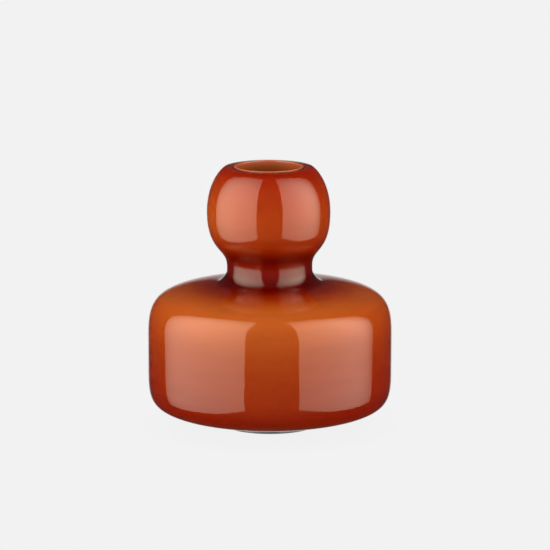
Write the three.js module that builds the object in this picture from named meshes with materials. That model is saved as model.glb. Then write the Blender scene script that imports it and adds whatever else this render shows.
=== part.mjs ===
// A small mouth-blown bud vase in cased amber glass. A low drum body rises through a short straight neck
// into a ball-shaped bulb, whose top is flat round a wide mouth. Three layers of glass are fused together:
// the amber wall, the pale lining inside it, and the clear foot disc under it. The amber is thickest at
// the neck, where the blown bubble was pinched, and thinnest at the shoulder.
//
// Millimetres, +Z up. The origin is the centre of the foot's underside, so heights are above the table.

import * as THREE from 'three';

const { Vector2 } = THREE;

// Overall sizes.
const HEIGHT = 120;
const MOUTH_RADIUS = 14.7;
const CROWN_RADIUS = 20;
const BULB_RADIUS = 28.3;
const BULB_HEIGHT = 99.2;
const NECK_RADIUS = 19.6;
const BODY_RADIUS = 56;
const SIDE_TOP = 43;
const SIDE_FOOT = 24.5;
const UNDERSIDE_HEIGHT = 1.9;
const FOOT_RADIUS = 21.9;
const FOOT_BEVEL = 0.5;

// Glass layers. A hair's gap parts the fused layers, so that each is a solid of its own. The lining is
// thicker at the lip, where the hollow starts to widen this far below the rim.
const LINING = 0.8;
const LAYER_GAP = 0.3;
const LIP_DEPTH = 5.6;
const LIP_REACH = 3;

// The amber wall's thickness where its inner face is widest or narrowest.
const AMBER_AT_CROWN = 2.3;
const AMBER_AT_BULB = 2.4;
const AMBER_AT_NECK = 4.3;
const AMBER_AT_SIDE_TOP = 2;
const AMBER_AT_SIDE_FOOT = 2.65;
const AMBER_AT_BASE = 3.3;

// The amber wall's two faces. Each is a chain of curves through the places named here, as radius and
// height. The other numbers are the curves' handles: how far a curve keeps the direction it starts or
// ends with. Slopes are in degrees, falling outward.
const OUTER_FACE = {
  rim: new Vector2(CROWN_RADIUS, HEIGHT),
  rimReach: 1.2,
  bulb: new Vector2(BULB_RADIUS, BULB_HEIGHT),
  bulbRise: 14,
  bulbFall: 18.2,
  neckTop: new Vector2(NECK_RADIUS, 74.3),
  neckFlare: 8.6,
  neckFoot: new Vector2(NECK_RADIUS, 72.2),
  filletDrop: 1.8,
  filletReach: 2.3,
  shoulder: new Vector2(25, 66.3),
  shoulderSlope: 7,
  shoulderReach: 26,
  sideTop: new Vector2(BODY_RADIUS, SIDE_TOP),
  sideRise: 17.8,
  sideFoot: new Vector2(BODY_RADIUS, SIDE_FOOT),
  bellyDrop: 18.4,
  base: new Vector2(FOOT_RADIUS, UNDERSIDE_HEIGHT),
  baseSlope: -12,
  baseReach: 31.4,
};

const INNER_FACE = {
  rim: new Vector2(MOUTH_RADIUS + LINING + LAYER_GAP, HEIGHT - AMBER_AT_CROWN),
  rimReach: 5.5,
  bulb: new Vector2(BULB_RADIUS - AMBER_AT_BULB, 98.5),
  bulbRise: 10.1,
  bulbFall: 17,
  neckTop: new Vector2(NECK_RADIUS - AMBER_AT_NECK, 78.6),
  neckFlare: 5.1,
  neckFoot: new Vector2(NECK_RADIUS - AMBER_AT_NECK, 67.9),
  filletDrop: 4.6,
  filletReach: 7.4,
  shoulder: new Vector2(27.3, 63.1),
  shoulderSlope: -0.5,
  shoulderReach: 26,
  sideTop: new Vector2(BODY_RADIUS - AMBER_AT_SIDE_TOP, 43.9),
  sideRise: 11.5,
  sideFoot: new Vector2(BODY_RADIUS - AMBER_AT_SIDE_FOOT, 23.2),
  bellyDrop: 18.6,
  base: new Vector2(0, UNDERSIDE_HEIGHT + AMBER_AT_BASE),
  baseSlope: 0,
  baseReach: 39.9,
};

// A face moved deeper into the vase changes its rounded corners' handles by this much of the depth.
const HANDLE_SHARE = 0.55;

const SEGMENTS = 40;
const CURVE_STEPS = 6;

// A step of the given length that points outward and falls by the slope.
function step(slope, length) {
  const angle = THREE.MathUtils.degToRad(slope);
  return new Vector2(Math.cos(angle), -Math.sin(angle)).multiplyScalar(length);
}

// The same face, moved deeper into the vase.
function deeper(face, depth) {
  const change = HANDLE_SHARE * depth;
  const inward = new Vector2(-depth, 0);
  const down = new Vector2(0, -depth);
  const offShoulder = step(face.shoulderSlope + 90, depth);
  return {
    ...face,
    rim: face.rim.clone().add(inward).add(down),
    bulb: face.bulb.clone().add(inward),
    bulbRise: face.bulbRise - change,
    neckTop: face.neckTop.clone().add(inward),
    neckFoot: face.neckFoot.clone().add(inward),
    filletDrop: face.filletDrop + change,
    filletReach: face.filletReach + change,
    shoulder: face.shoulder.clone().add(offShoulder),
    shoulderReach: face.shoulderReach - change,
    sideTop: face.sideTop.clone().add(inward),
    sideRise: face.sideRise - change,
    sideFoot: face.sideFoot.clone().add(inward),
    bellyDrop: face.bellyDrop - change,
    base: face.base.clone().sub(down),
    baseReach: face.baseReach - change,
  };
}

// Adds one curve to the path, from its current point, by the two handles and the end they lead to.
function curve(path, fromHandle, toHandle, end) {
  path.bezierCurveTo(fromHandle.x, fromHandle.y, toHandle.x, toHandle.y, end.x, end.y);
}

// A face's line, from the rim down to the base.
function faceLine(face) {
  const path = new THREE.Path();
  const { rim, bulb, neckTop, neckFoot, shoulder, sideTop, sideFoot, base } = face;
  const up = (place, length) => new Vector2(place.x, place.y + length);
  const out = (place, slope, length) => place.clone().add(step(slope, length));
  path.moveTo(rim.x, rim.y);
  curve(path, out(rim, 0, face.rimReach), up(bulb, face.bulbRise), bulb);
  curve(path, up(bulb, -face.bulbFall), up(neckTop, face.neckFlare), neckTop);
  path.lineTo(neckFoot.x, neckFoot.y);
  curve(path, up(neckFoot, -face.filletDrop), out(shoulder, face.shoulderSlope, -face.filletReach), shoulder);
  curve(path, out(shoulder, face.shoulderSlope, face.shoulderReach), up(sideTop, face.sideRise), sideTop);
  path.lineTo(sideFoot.x, sideFoot.y);
  curve(path, up(sideFoot, -face.bellyDrop), out(base, face.baseSlope, face.baseReach), base);
  return path.getPoints(CURVE_STEPS);
}

// The line of a face inside the vase, from the top of the mouth to the middle of the floor.
function insideLine(face) {
  return [new Vector2(face.rim.x, HEIGHT), ...faceLine(face)];
}

// The line of the hollow that holds the stems.
function hollowLine() {
  const hollow = deeper(INNER_FACE, LAYER_GAP + LINING);
  hollow.rim = new Vector2(MOUTH_RADIUS, HEIGHT - LIP_DEPTH);
  hollow.rimReach = LIP_REACH;
  return insideLine(hollow);
}

// The line of the outside, from the crown to the middle of the underside.
function outsideLine() {
  return [...faceLine(OUTER_FACE), new Vector2(0, UNDERSIDE_HEIGHT)];
}

// A turned solid: the profile runs from the axis, up the outside, and down the inside to the axis.
function turned(name, profile, material) {
  const geometry = new THREE.LatheGeometry(profile, SEGMENTS);
  geometry.rotateX(Math.PI / 2);
  const mesh = new THREE.Mesh(geometry, new THREE.MeshStandardMaterial(material));
  mesh.name = name;
  return mesh;
}

function amberOuterWall() {
  const profile = [...outsideLine().reverse(), ...insideLine(INNER_FACE)];
  return turned('amber_outer_wall', profile, { color: 0xb4441c, roughness: 0.05, metalness: 0 });
}

function paleInnerLining() {
  const underAmber = insideLine(deeper(INNER_FACE, LAYER_GAP));
  const profile = [...underAmber.reverse(), ...hollowLine()];
  return turned('pale_inner_lining', profile, { color: 0xe0a184, roughness: 0.08, metalness: 0 });
}

function clearFoot() {
  const top = UNDERSIDE_HEIGHT - LAYER_GAP;
  const profile = [
    new Vector2(0, 0),
    new Vector2(FOOT_RADIUS - FOOT_BEVEL, 0),
    new Vector2(FOOT_RADIUS, FOOT_BEVEL),
    new Vector2(FOOT_RADIUS, top),
    new Vector2(0, top),
  ];
  return turned('clear_foot', profile, { color: 0x6b6561, roughness: 0.12, metalness: 0 });
}

const vase = new THREE.Group();
vase.add(amberOuterWall(), paleInnerLining(), clearFoot());

export default vase;
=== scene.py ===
import math

import bpy
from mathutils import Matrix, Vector, noise
from mathutils.geometry import interpolate_bezier

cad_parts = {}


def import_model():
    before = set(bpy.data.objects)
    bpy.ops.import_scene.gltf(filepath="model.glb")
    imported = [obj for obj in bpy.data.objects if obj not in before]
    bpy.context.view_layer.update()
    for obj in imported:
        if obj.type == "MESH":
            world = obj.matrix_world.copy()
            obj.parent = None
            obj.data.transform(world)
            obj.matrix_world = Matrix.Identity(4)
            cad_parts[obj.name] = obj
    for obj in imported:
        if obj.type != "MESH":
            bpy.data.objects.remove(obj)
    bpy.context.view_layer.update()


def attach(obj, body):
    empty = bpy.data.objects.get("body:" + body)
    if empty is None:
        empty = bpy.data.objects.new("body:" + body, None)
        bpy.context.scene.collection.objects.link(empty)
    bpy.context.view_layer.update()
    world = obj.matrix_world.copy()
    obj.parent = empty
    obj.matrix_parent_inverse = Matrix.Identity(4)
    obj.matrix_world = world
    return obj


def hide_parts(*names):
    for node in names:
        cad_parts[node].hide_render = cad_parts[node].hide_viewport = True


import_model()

MM = 0.001

# ---------------------------------------------------------------- sizes, in millimetres

HEIGHT = 120
MOUTH_RADIUS = 14.7
CROWN_RADIUS = 20
BULB_RADIUS = 28.3
BULB_HEIGHT = 99.2
NECK_RADIUS = 19.6
BODY_RADIUS = 56
SIDE_TOP = 43
SIDE_FOOT = 24.5
UNDERSIDE_HEIGHT = 1.9
FOOT_RADIUS = 21.9

# The lining fills the hair's gap that the solids have between them, and the amber reaches a little way into
# it, out of sight, so that light passes straight from one layer to the next.
LINING = 1.1
AMBER_OVERLAP = 0.5

AMBER_AT_CROWN = 2.3
AMBER_AT_BULB = 2.4
AMBER_AT_NECK = 4.3
AMBER_AT_SIDE_TOP = 2
AMBER_AT_SIDE_FOOT = 2.65
AMBER_AT_BASE = 3.3

# The amber's two faces, as chains of curves. Places are radius and height. A rise, fall, flare, drop or reach
# is how far a curve keeps the direction it starts or ends with. Slopes are in degrees, falling outward.

OUTER_FACE = dict(
    rim=(CROWN_RADIUS, HEIGHT), rim_reach=1.2,
    bulb=(BULB_RADIUS, BULB_HEIGHT), bulb_rise=14, bulb_fall=18.2,
    neck_top=(NECK_RADIUS, 74.3), neck_flare=8.6,
    neck_foot=(NECK_RADIUS, 72.2), fillet_drop=1.8, fillet_reach=2.3,
    shoulder=(25, 66.3), shoulder_slope=7, shoulder_reach=26,
    side_top=(BODY_RADIUS, SIDE_TOP), side_rise=17.8,
    side_foot=(BODY_RADIUS, SIDE_FOOT), belly_drop=18.4,
    base=(FOOT_RADIUS, UNDERSIDE_HEIGHT), base_slope=-12, base_reach=31.4,
)
INNER_FACE = dict(
    rim=(MOUTH_RADIUS + LINING, HEIGHT - AMBER_AT_CROWN), rim_reach=5.5,
    bulb=(BULB_RADIUS - AMBER_AT_BULB, 98.5), bulb_rise=10.1, bulb_fall=17,
    neck_top=(NECK_RADIUS - AMBER_AT_NECK, 78.6), neck_flare=5.1,
    neck_foot=(NECK_RADIUS - AMBER_AT_NECK, 67.9), fillet_drop=4.6, fillet_reach=7.4,
    shoulder=(27.3, 63.1), shoulder_slope=-0.5, shoulder_reach=26,
    side_top=(BODY_RADIUS - AMBER_AT_SIDE_TOP, 43.9), side_rise=11.5,
    side_foot=(BODY_RADIUS - AMBER_AT_SIDE_FOOT, 23.2), belly_drop=18.6,
    base=(0, UNDERSIDE_HEIGHT + AMBER_AT_BASE), base_slope=0, base_reach=39.9,
)

# A face moved deeper into the vase changes its rounded corners' handles by this much of the depth.
HANDLE_SHARE = 0.55
CURVE_STEPS = 16
SEGMENTS = 192


# ---------------------------------------------------------------- outlines

def step(slope, length):
    angle = math.radians(slope)
    return Vector((math.cos(angle), -math.sin(angle))) * length


def deeper(face, depth):
    """The same face, moved deeper into the vase."""
    change = HANDLE_SHARE * depth
    inward, down = Vector((-depth, 0)), Vector((0, -depth))
    moved = dict(face)
    moved["rim"] = Vector(face["rim"]) + inward + down
    for place in ("bulb", "neck_top", "neck_foot", "side_top", "side_foot"):
        moved[place] = Vector(face[place]) + inward
    moved["shoulder"] = Vector(face["shoulder"]) + step(face["shoulder_slope"] + 90, depth)
    moved["base"] = Vector(face["base"]) - down
    for handle in ("fillet_drop", "fillet_reach"):
        moved[handle] = face[handle] + change
    for handle in ("bulb_rise", "shoulder_reach", "side_rise", "belly_drop", "base_reach"):
        moved[handle] = face[handle] - change
    return moved


def face_line(face):
    """A face's line as radius and height, from the rim down to the base."""
    rim, bulb = Vector(face["rim"]), Vector(face["bulb"])
    neck_top, neck_foot = Vector(face["neck_top"]), Vector(face["neck_foot"])
    shoulder, base = Vector(face["shoulder"]), Vector(face["base"])
    side_top, side_foot = Vector(face["side_top"]), Vector(face["side_foot"])
    up = Vector((0, 1))
    along = step(face["shoulder_slope"], 1)
    into_base = base + step(face["base_slope"], face["base_reach"])
    into_fillet = shoulder - along * face["fillet_reach"]
    off_shoulder = shoulder + along * face["shoulder_reach"]
    curves = [
        (rim, rim + step(0, face["rim_reach"]), bulb + up * face["bulb_rise"], bulb),
        (bulb, bulb - up * face["bulb_fall"], neck_top + up * face["neck_flare"], neck_top),
        (neck_top, neck_top, neck_foot, neck_foot),
        (neck_foot, neck_foot - up * face["fillet_drop"], into_fillet, shoulder),
        (shoulder, off_shoulder, side_top + up * face["side_rise"], side_top),
        (side_top, side_top, side_foot, side_foot),
        (side_foot, side_foot - up * face["belly_drop"], into_base, base),
    ]
    line = [rim]
    for start, handle_a, handle_b, end in curves:
        line += interpolate_bezier(start, handle_a, handle_b, end, CURVE_STEPS + 1)[1:]
    return [Vector((p[0], p[1])) for p in line]


def arc(centre, radius, start, end, steps=8):
    """Points round a circle, by angle in degrees from +radius towards +height."""
    angles = [math.radians(start + (end - start) * i / steps) for i in range(steps + 1)]
    return [Vector(centre) + Vector((math.cos(a), math.sin(a))) * radius for a in angles]


# ---------------------------------------------------------------- meshes

# How far the bulb leans to one side, and the heights between which the lean grows.
LEAN = -0.6
LEAN_FROM, LEAN_TO = 62, 100

# How uneven the round is, as a share of the radius, and how big its swells are.
SWELL = 0.003
SWELL_SIZE = 42

# The inside of the amber is shifted to one side and stretched across, so its coat is not the same all round.
BODY_SHIFT, BULB_SHIFT = -0.1, -0.2
BODY_STRETCH, BULB_STRETCH = 0.996, 1.02

# A point of a profile nearer the axis than this is on it.
ON_AXIS = 0.001
SHARP_EDGE = 35


def up_the_neck(z):
    """Rises smoothly from 0 in the body to 1 in the bulb."""
    share = min(max((z - LEAN_FROM) / (LEAN_TO - LEAN_FROM), 0), 1)
    return share * share * (3 - 2 * share)


def blown(point):
    """Where a point of the true form lies on the blown glass, which leans a little and is uneven."""
    swell = 1 + SWELL * noise.noise(point / SWELL_SIZE)
    return Vector((point.x * swell + LEAN * up_the_neck(point.z), point.y * swell, point.z))


def under_the_amber(point):
    """The same, where the amber meets the lining: the coat is thinner on some sides than on others."""
    share = up_the_neck(point.z)
    stretch = BODY_STRETCH + (BULB_STRETCH - BODY_STRETCH) * share
    shift = BODY_SHIFT + (BULB_SHIFT - BODY_SHIFT) * share
    return blown(Vector((point.x * stretch + shift, point.y, point.z)))


def turned(name, bands, segments=SEGMENTS):
    """A closed solid turned from bands of a profile, which run from the axis, up the outside, and back to
    the axis. A band is its line, the function that places its points, and the number of its material."""
    verts, rings, slots = [], [], []
    for line, placed, slot in bands:
        for p in line:
            slots.append(slot)
            if p.x < ON_AXIS:
                rings.append([len(verts)] * segments)
                verts.append(placed(Vector((0, 0, p.y))) * MM)
                continue
            rings.append(list(range(len(verts), len(verts) + segments)))
            for i in range(segments):
                a = 2 * math.pi * i / segments
                verts.append(placed(Vector((p.x * math.cos(a), p.x * math.sin(a), p.y))) * MM)
    faces, face_slots = [], []
    for low, high, slot in zip(rings[:-1], rings[1:], slots[1:]):
        for i in range(segments):
            j = (i + 1) % segments
            corners = dict.fromkeys((low[i], low[j], high[j], high[i]))
            if len(corners) > 2:
                faces.append(tuple(corners))
                face_slots.append(slot)
    mesh = bpy.data.meshes.new(name)
    mesh.from_pydata(verts, [], faces)
    mesh.polygons.foreach_set("material_index", face_slots)
    mesh.validate()
    mesh.shade_smooth()
    mesh.set_sharp_from_angle(angle=math.radians(SHARP_EDGE))
    piece = bpy.data.objects.new(name, mesh)
    bpy.context.scene.collection.objects.link(piece)
    return piece


# ---------------------------------------------------------------- materials

GLASS_IOR = 1.5
AMBER_COLOUR = (0.882, 0.527, 0.055, 1)
AMBER_DENSITY = 1100
# The lining is a little darker at the base than at the lip: painted shade, where the lower body gets less
# light.
PALE_SHADED_AT_BASE, PALE_AT_LIP = (0.86, 0.82, 0.78), (0.9, 0.86, 0.82)
MATT_UNDERSIDE, POLISHED_SIDE = 0.4, 0.08


def new_material(name):
    material = bpy.data.materials.new(name)
    material.use_nodes = True
    nodes = material.node_tree.nodes
    nodes.clear()
    output = nodes.new("ShaderNodeOutputMaterial")
    shader = nodes.new("ShaderNodeBsdfPrincipled")
    material.node_tree.links.new(shader.outputs[0], output.inputs["Surface"])
    return material, nodes, material.node_tree.links, shader, output


def clouds(nodes, links, size, stretch=(1, 1, 1), detail=2):
    """Soft noise whose patches are about this big, in millimetres, and stretched along each axis."""
    place = nodes.new("ShaderNodeTexCoord")
    grid = nodes.new("ShaderNodeMapping")
    grid.inputs["Scale"].default_value = [1 / (size * MM * s) for s in stretch]
    links.new(place.outputs["Object"], grid.inputs["Vector"])
    texture = nodes.new("ShaderNodeTexNoise")
    texture.inputs["Scale"].default_value = 1
    texture.inputs["Detail"].default_value = detail
    links.new(grid.outputs[0], texture.inputs["Vector"])
    return texture.outputs["Fac"]


def spread(nodes, links, value, low, high, start=0.3, end=0.7):
    """Spreads a texture's middle values from low to high."""
    span = nodes.new("ShaderNodeMapRange")
    span.inputs["From Min"].default_value = start
    span.inputs["From Max"].default_value = end
    span.inputs["To Min"].default_value = low
    span.inputs["To Max"].default_value = high
    links.new(value, span.inputs["Value"])
    return span.outputs[0]


def bumps(nodes, links, shader, layers):
    """Stacks bumps on a shader: each layer is a texture and its height in millimetres."""
    below = None
    for texture, height in layers:
        bump = nodes.new("ShaderNodeBump")
        bump.inputs["Distance"].default_value = height * MM
        links.new(texture, bump.inputs["Height"])
        if below:
            links.new(below.outputs[0], bump.inputs["Normal"])
        below = bump
    links.new(below.outputs[0], shader.inputs["Normal"])


def by_height(nodes, links, stops):
    """A colour that depends on the height: stops are heights in millimetres and their colours."""
    place = nodes.new("ShaderNodeTexCoord")
    axes = nodes.new("ShaderNodeSeparateXYZ")
    links.new(place.outputs["Object"], axes.inputs[0])
    low, high = stops[0][0], stops[-1][0]
    share = spread(nodes, links, axes.outputs["Z"], 0, 1, low * MM, high * MM)
    ramp = nodes.new("ShaderNodeValToRGB")
    links.new(share, ramp.inputs[0])
    marks = ramp.color_ramp.elements
    while len(marks) < len(stops):
        marks.new(0.5)
    for mark, (height, colour) in zip(marks, stops):
        mark.position = (height - low) / (high - low)
        mark.color = (*colour, 1)
    return ramp.outputs[0]


def tinted(nodes, links, colour, value, low, high):
    """The colour made darker or lighter by a texture."""
    scale = nodes.new("ShaderNodeVectorMath")
    scale.operation = "SCALE"
    links.new(colour, scale.inputs[0])
    links.new(spread(nodes, links, value, low, high), scale.inputs["Scale"])
    return scale.outputs[0]


def amber_glass():
    """Clear amber, fire-polished, with the faint waves of blown glass, drawn out round the vase. It is all but
    perfectly smooth: only rare patches are a little dull."""
    material, nodes, links, shader, output = new_material("amber_glass")
    shader.inputs["Base Color"].default_value = (1, 1, 1, 1)
    shader.inputs["Transmission Weight"].default_value = 1
    shader.inputs["IOR"].default_value = GLASS_IOR
    dull_patches = spread(nodes, links, clouds(nodes, links, 14), 0, 0.02, 0.62, 0.8)
    links.new(dull_patches, shader.inputs["Roughness"])
    waves = clouds(nodes, links, 9, (3, 3, 1))
    swells = clouds(nodes, links, 30)
    bumps(nodes, links, shader, [(swells, 0.12), (waves, 0.02)])
    volume = nodes.new("ShaderNodeVolumeAbsorption")
    volume.inputs["Color"].default_value = AMBER_COLOUR
    volume.inputs["Density"].default_value = AMBER_DENSITY
    links.new(volume.outputs[0], output.inputs["Volume"])
    return material


def pale_glass():
    """The lining under the amber: pale, with faint streaks drawn out round the vase, and painted shade: a
    little darker towards the base.
    """
    material, nodes, links, shader, output = new_material("pale_glass")
    # Painted shade: the pale colour darkens a little from the lip down to the base.
    pale = by_height(nodes, links, [(0, PALE_SHADED_AT_BASE), (HEIGHT, PALE_AT_LIP)])
    streaks = clouds(nodes, links, 5, (5, 5, 1), 4)
    links.new(tinted(nodes, links, pale, streaks, 0.95, 1.03), shader.inputs["Base Color"])
    links.new(spread(nodes, links, clouds(nodes, links, 8), 0.08, 0.2), shader.inputs["Roughness"])
    bumps(nodes, links, shader, [(streaks, 0.02)])
    return material


def toned_and_shaded_glass():
    """The lining's bare face: own amber tone, the lip warm and pale, and painted shade making the hollow
    darker and redder with depth.
    """
    material, nodes, links, shader, output = new_material("toned_and_shaded_glass")
    # Painted shade: the colour darkens from the lip down into the hollow, over the glass's own amber tone.
    tone_and_shade = by_height(nodes, links, [
        (90, (0.18, 0.03, 0.007)), (114, (0.19, 0.034, 0.009)), (117, (0.22, 0.045, 0.013)),
        (119, (0.28, 0.07, 0.024)), (120.2, (0.4, 0.085, 0.038)),
    ])
    cloudy = clouds(nodes, links, 6, (2, 2, 1), 3)
    links.new(tinted(nodes, links, tone_and_shade, cloudy, 0.85, 1.12), shader.inputs["Base Color"])
    links.new(spread(nodes, links, clouds(nodes, links, 4), 0.06, 0.16), shader.inputs["Roughness"])
    bumps(nodes, links, shader, [(cloudy, 0.03)])
    return material


def clear_glass():
    """The foot: colourless, ground matt and a little scratched where it stands on the table."""
    material, nodes, links, shader, output = new_material("clear_glass")
    shader.inputs["Base Color"].default_value = (0.8, 0.8, 0.8, 1)
    shader.inputs["Transmission Weight"].default_value = 1
    place = nodes.new("ShaderNodeTexCoord")
    axes = nodes.new("ShaderNodeSeparateXYZ")
    links.new(place.outputs["Object"], axes.inputs[0])
    matt = spread(nodes, links, axes.outputs["Z"], MATT_UNDERSIDE, POLISHED_SIDE, 0.1 * MM, 0.5 * MM)
    smudges = spread(nodes, links, clouds(nodes, links, 3), -0.03, 0.05)
    rough = nodes.new("ShaderNodeMath")
    rough.operation = "ADD"
    links.new(matt, rough.inputs[0])
    links.new(smudges, rough.inputs[1])
    links.new(rough.outputs[0], shader.inputs["Roughness"])
    scratches = clouds(nodes, links, 0.4, (6, 1, 1), 4)
    bumps(nodes, links, shader, [(clouds(nodes, links, 5), 0.03), (scratches, 0.004)])
    return material


# ---------------------------------------------------------------- pieces

# The lip stands a little above the crown, and the crown curves up to meet it.
LIP_RISE = 0.55
LIP_FILLET = 1.2

# The lining is thicker at the lip, where the hollow starts to widen this far below the rim.
LIP_DEPTH = 5.6
LIP_REACH = 3
FOOT_BEVEL = 0.5
UNDER_THE_BODY = 0.05


def amber_wall():
    hidden = face_line(deeper(INNER_FACE, AMBER_OVERLAP))
    outside = face_line(OUTER_FACE) + [Vector((0, UNDERSIDE_HEIGHT))]
    lip = MOUTH_RADIUS + LINING
    fillet = interpolate_bezier(
        Vector((lip + LIP_FILLET, HEIGHT)), Vector((lip + LIP_FILLET / 3, HEIGHT)),
        Vector((lip, HEIGHT)), Vector((lip - 0.1, HEIGHT + LIP_RISE / 2)), 8,
    )
    crown = [Vector((p[0], p[1])) for p in fillet] + [Vector((hidden[0].x, HEIGHT))]
    return turned("amber_wall", [(outside[::-1] + crown, blown, 0), (hidden, under_the_amber, 0)])


def lining():
    outer = face_line(INNER_FACE)
    hollow = deeper(INNER_FACE, LINING)
    hollow["rim"] = (MOUTH_RADIUS, HEIGHT - LIP_DEPTH)
    hollow["rim_reach"] = LIP_REACH
    inner = face_line(hollow)
    bead_centre = (MOUTH_RADIUS + LINING / 2, HEIGHT + LIP_RISE - LINING / 2)
    bead = arc(bead_centre, LINING / 2, 0, 180, 12)
    return turned("lining", [(outer[::-1], under_the_amber, 0), (bead + inner, blown, 1)])


def foot():
    top = UNDERSIDE_HEIGHT - UNDER_THE_BODY
    bevel = arc((FOOT_RADIUS - FOOT_BEVEL, FOOT_BEVEL), FOOT_BEVEL, -90, 0, 6)
    profile = [Vector((0, 0))] + bevel + [Vector((FOOT_RADIUS, top)), Vector((0, top))]
    return turned("foot", [(profile, blown, 0)])


for piece, node, slot, materials in (
    (amber_wall(), "amber_outer_wall", "amber_glass", [amber_glass()]),
    (lining(), "pale_inner_lining", "pale_glass", [pale_glass(), toned_and_shaded_glass()]),
    (foot(), "clear_foot", "clear_glass", [clear_glass()]),
):
    for material in materials:
        piece.data.materials.append(material)
    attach(piece, "root")
    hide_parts(node)


# ---------------------------------------------------------------- stage, light and camera

# The strength of the surroundings depends on what sees them. BACKGROUND is for the camera, and straight
# behind the vase for reflections, out to an edge this many degrees away. The rest of the room is dim there.
# ON_MATT is for bare diffuse surfaces, and THROUGH_GLASS for the lining under the amber.
BACKGROUND = 0.888
BACKDROP_EDGE = 18.3
ROOM_BEHIND, ROOM_BEFORE = 0.04, 0.12
ON_MATT = 0.6
THROUGH_GLASS = 1.15

# The floor's shade under the vase: how dark it gets, as a share of full light, and its reach in metres.
SEEN_SHADE, SEEN_REACH = 0.97, 0.015
GLASS_SHADE, GLASS_REACH = 0.2, 0.06
FLOOR_SIZE = 60


def lit_lining(nodes, links):
    """Is 1 for light that reaches the lining through the amber."""
    path = nodes.new("ShaderNodeLightPath")
    both = nodes.new("ShaderNodeMath")
    both.operation = "MULTIPLY"
    both.use_clamp = True
    links.new(path.outputs["Is Transmission Ray"], both.inputs[0])
    links.new(path.outputs["Diffuse Depth"], both.inputs[1])
    return both.outputs[0]


def switched(nodes, links, kind, choices):
    """Stacks lights. Each is a strength, or a socket that gives it, and the test that picks it over those
    before it."""
    below = None
    for light, test in choices:
        shine = nodes.new(kind)
        shine.inputs["Color"].default_value = (1, 1, 1, 1)
        if isinstance(light, float):
            shine.inputs["Strength"].default_value = light
        else:
            links.new(light, shine.inputs["Strength"])
        if below is None:
            below = shine
            continue
        mix = nodes.new("ShaderNodeMixShader")
        links.new(test, mix.inputs[0])
        links.new(below.outputs[0], mix.inputs[1])
        links.new(shine.outputs[0], mix.inputs[2])
        below = mix
    return below.outputs[0]


def glowing_floor():
    """A pale floor. The camera sees only a hint of shade at the foot; the glass sees the vase's own shade."""
    bpy.ops.mesh.primitive_plane_add(size=FLOOR_SIZE)
    floor = bpy.context.object
    floor.name = "floor"
    material = bpy.data.materials.new("floor")
    material.use_nodes = True
    nodes, links = material.node_tree.nodes, material.node_tree.links
    nodes.clear()
    output = nodes.new("ShaderNodeOutputMaterial")
    path = nodes.new("ShaderNodeLightPath")
    choices = []
    for brightest, darkest, reach, test in (
        (BACKGROUND, GLASS_SHADE, GLASS_REACH, None),
        (THROUGH_GLASS, GLASS_SHADE, GLASS_REACH, lit_lining(nodes, links)),
        (BACKGROUND, SEEN_SHADE, SEEN_REACH, path.outputs["Is Camera Ray"]),
    ):
        near = nodes.new("ShaderNodeAmbientOcclusion")
        near.inputs["Distance"].default_value = reach
        near.samples = 8
        shine = spread(nodes, links, near.outputs["AO"], brightest * darkest, brightest, 0, 1)
        choices.append((shine, test))
    links.new(switched(nodes, links, "ShaderNodeEmission", choices), output.inputs["Surface"])
    floor.data.materials.append(material)
    for kind in ("diffuse", "glossy", "shadow", "volume_scatter"):
        setattr(floor, "visible_" + kind, False)


def world():
    """A pale backdrop for the camera, a dim room for reflections, and soft light all round for the lining."""
    sky = bpy.data.worlds.new("studio")
    bpy.context.scene.world = sky
    sky.use_nodes = True
    nodes, links = sky.node_tree.nodes, sky.node_tree.links
    nodes.clear()
    output = nodes.new("ShaderNodeOutputWorld")
    path = nodes.new("ShaderNodeLightPath")
    way = nodes.new("ShaderNodeTexCoord").outputs["Generated"]
    e = math.radians(CAMERA_ELEVATION)
    behind = nodes.new("ShaderNodeVectorMath")
    behind.operation = "DOT_PRODUCT"
    behind.inputs[1].default_value = (0, math.cos(e), -math.sin(e))
    links.new(way, behind.inputs[0])
    edge = math.cos(math.radians(BACKDROP_EDGE))
    backdrop = spread(nodes, links, behind.outputs["Value"], 0, BACKGROUND, edge, 1)
    dim = spread(nodes, links, behind.outputs["Value"], ROOM_BEFORE, ROOM_BEHIND, -1, 0)
    room = nodes.new("ShaderNodeMath")
    room.operation = "ADD"
    links.new(dim, room.inputs[0])
    links.new(backdrop, room.inputs[1])
    sky_light = switched(nodes, links, "ShaderNodeBackground", (
        (room.outputs[0], None),
        (ON_MATT, path.outputs["Is Diffuse Ray"]),
        (THROUGH_GLASS, lit_lining(nodes, links)),
        (BACKGROUND, path.outputs["Is Camera Ray"]),
    ))
    links.new(sky_light, output.inputs["Surface"])


# The panels' light, and how far from its brightest place it falls to half, across and upwards, in metres.
PANEL_COLOUR = (1.04, 0.95, 0.75, 1)
HOT_WIDTH, HOT_HEIGHT = 0.5, 0.45


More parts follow.
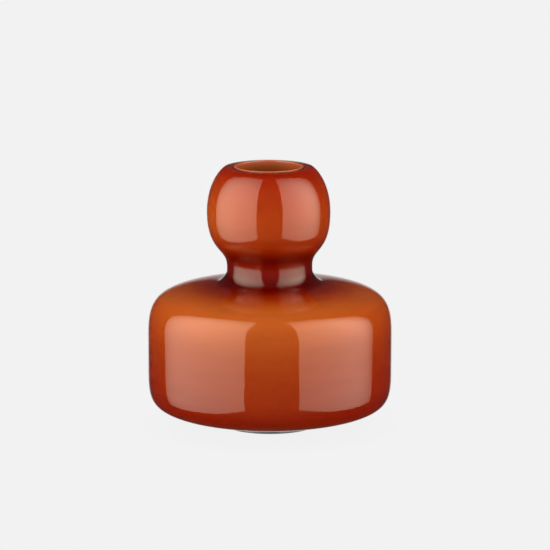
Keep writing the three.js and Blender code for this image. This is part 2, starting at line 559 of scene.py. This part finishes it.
def panel(name, azimuth, distance, inner, outer, radiance, hot):
    """An upright soft panel, whose top and bottom edges may slope. Azimuth is from the camera's side, positive
    to the right, and gives where it faces the vase squarely. Inner and outer are its side edges, each as its
    place from there, away from the camera's side, and its lowest and highest height. Hot is where it glows
    brightest. All are in metres."""
    points = [(inner[0], inner[1]), (outer[0], outer[1]), (outer[0], outer[2]), (inner[0], inner[2])]
    mesh = bpy.data.meshes.new(name)
    mesh.from_pydata([(x, 0, z) for x, z in points], [], [(0, 1, 2, 3)])
    light = bpy.data.objects.new(name, mesh)
    bpy.context.scene.collection.objects.link(light)
    side = math.copysign(1, azimuth)
    a = math.radians(azimuth)
    light.location = (math.sin(a) * distance, -math.cos(a) * distance, 0)
    light.rotation_euler = (0, 0, a)
    light.scale = (side, 1, 1)
    material = bpy.data.materials.new(name)
    material.use_nodes = True
    nodes, links = material.node_tree.nodes, material.node_tree.links
    nodes.clear()
    output = nodes.new("ShaderNodeOutputMaterial")
    glow = nodes.new("ShaderNodeEmission")
    glow.inputs["Color"].default_value = PANEL_COLOUR
    place = nodes.new("ShaderNodeTexCoord")
    offset = nodes.new("ShaderNodeMapping")
    offset.vector_type = "TEXTURE"
    offset.inputs["Location"].default_value = (hot[0], 0, hot[1])
    offset.inputs["Scale"].default_value = (HOT_WIDTH, 1, HOT_HEIGHT)
    links.new(place.outputs["Object"], offset.inputs["Vector"])
    square = nodes.new("ShaderNodeVectorMath")
    square.operation = "DOT_PRODUCT"
    links.new(offset.outputs[0], square.inputs[0])
    links.new(offset.outputs[0], square.inputs[1])
    fall = nodes.new("ShaderNodeMath")
    fall.operation = "ADD"
    fall.inputs[1].default_value = 1
    links.new(square.outputs["Value"], fall.inputs[0])
    strength = nodes.new("ShaderNodeMath")
    strength.operation = "DIVIDE"
    strength.inputs[0].default_value = radiance
    links.new(fall.outputs[0], strength.inputs[1])
    links.new(strength.outputs[0], glow.inputs["Strength"])
    links.new(glow.outputs[0], output.inputs["Surface"])
    mesh.materials.append(material)
    light.visible_camera = False


# The camera, in degrees and metres. The frame's width is at the vase; the vase is a little off its middle.
CAMERA_ELEVATION = 11.5
CAMERA_DISTANCE = 1.836
FRAME_WIDTH = 0.2524
RIGHT_OF_VASE, ABOVE_VASE = 0.0023, 0.0096


def camera():
    data = bpy.data.cameras.new("camera")
    cam = bpy.data.objects.new("camera", data)
    bpy.context.scene.collection.objects.link(cam)
    e = math.radians(CAMERA_ELEVATION)
    back = Vector((0, -math.cos(e), math.sin(e)))
    up = Vector((0, math.sin(e), math.cos(e)))
    middle = Vector((0, 0, HEIGHT / 2 * MM))
    cam.location = middle + back * CAMERA_DISTANCE
    target = middle + up * ABOVE_VASE + Vector((RIGHT_OF_VASE, 0, 0))
    cam.rotation_euler = (target - cam.location).to_track_quat("-Z", "Y").to_euler()
    data.lens = data.sensor_width / 2 / (FRAME_WIDTH / 2 / CAMERA_DISTANCE)
    data.clip_start, data.clip_end = 0.05, 100
    bpy.context.scene.camera = cam


glowing_floor()
world()
panel("panel_left", -42.6, 0.316, (-0.121, -0.105, 0.9), (0.941, -0.4, 0.8), 4.2, (0.2, 0.24))
panel("panel_right", 38.1, 0.382, (-0.087, -0.118, 1.05), (1.25, -0.46, 1), 4.6, (0.35, 0.27))
camera()
scene = bpy.context.scene
scene.view_settings.view_transform = "Standard"
scene.cycles.use_denoising = True
